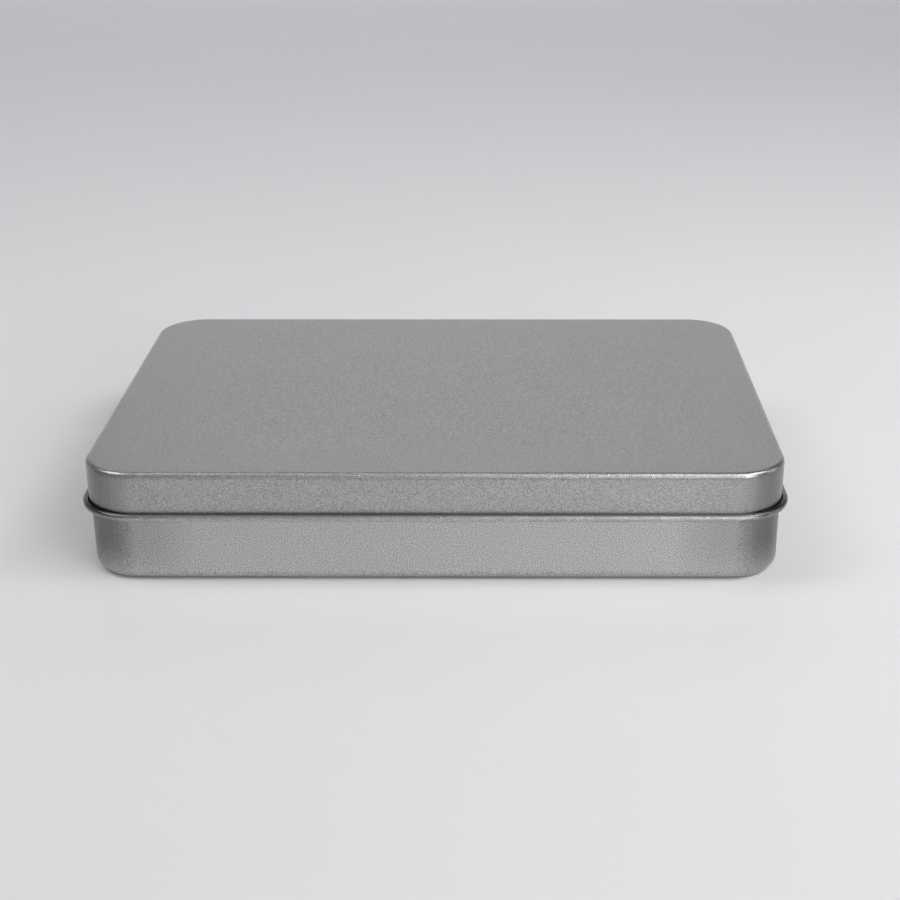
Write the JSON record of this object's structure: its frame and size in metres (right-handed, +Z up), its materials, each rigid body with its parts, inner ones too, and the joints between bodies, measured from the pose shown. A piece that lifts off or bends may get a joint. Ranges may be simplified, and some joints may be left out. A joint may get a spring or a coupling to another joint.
{
  "type": "hinged card tin",
  "caption": "Flat rectangular card tin of plain satin tinplate with rounded corners and an overlapping lid, hinged on wire pins in its rolled edge at the back.",
  "frame": {"origin": "on the floor plane, under the middle of the tin", "axes": "+X to the right along the tin's width, +Y to the back where the hinge is, +Z up"},
  "size_m": [0.1424, 0.1004, 0.0238],
  "materials": {
    "tray_tinplate": "fine grained satin tinplate",
    "lid_tinplate": "fine grained satin tinplate",
    "hinge_wire": "drawn steel wire"
  },
  "bodies": {
    "tray": {"tray": "tray_tinplate"},
    "lid": {"lid": "lid_tinplate", "hinge_pin_left": "hinge_wire", "hinge_pin_right": "hinge_wire"}
  },
  "joints": [
    {"name": "lid_hinge", "type": "hinge", "parent": "tray", "child": "lid", "pos_m": [0, 0.0495, 0.0146], "axis": [-1, 0, 0], "range_deg": [0, 180]}
  ]
}
